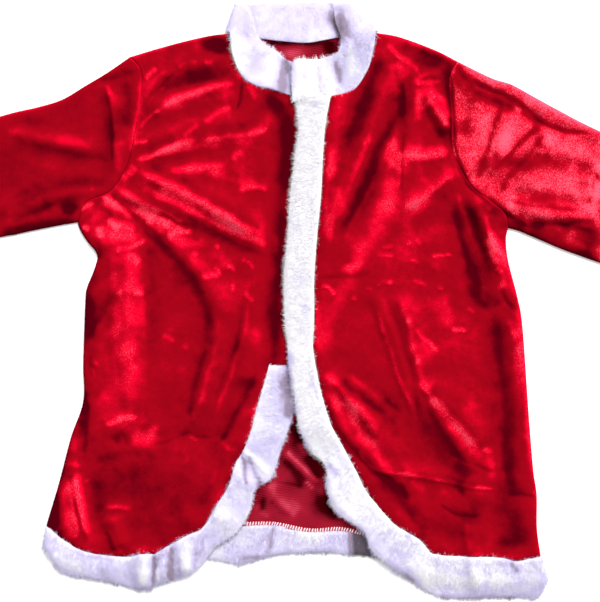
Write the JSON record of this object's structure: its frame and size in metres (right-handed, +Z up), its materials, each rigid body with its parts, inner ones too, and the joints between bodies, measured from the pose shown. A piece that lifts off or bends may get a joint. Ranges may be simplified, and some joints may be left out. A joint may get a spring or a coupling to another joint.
{
  "type": "santa suit jacket",
  "caption": "Long-sleeved velvet costume jacket with a plush stand collar and plush bands, laid flat face up with its cut-away fronts over the back.",
  "frame": {"origin": "middle of the laid-out outline, sleeves included, on the surface the jacket lies on", "axes": "+X to the right of someone looking down at the jacket's front, which is towards the wearer's left sleeve; +Y from the hem towards the collar; +Z up, out of the front"},
  "size_m": [1.6006, 0.8344, 0.0174],
  "materials": {
    "velvet": "deep red short-pile stretch velvet with a pink sheen, knitted on its wrong side",
    "plush": "white short-pile faux fur, matte and soft"
  },
  "bodies": {
    "root": {"back_panel": "velvet", "front_panel_right": "velvet", "front_panel_left": "velvet", "sleeve_right": "velvet", "sleeve_left": "velvet", "collar_band": "plush", "front_trim_right": "plush", "front_trim_left": "plush", "back_trim": "plush"}
  },
  "joints": []
}
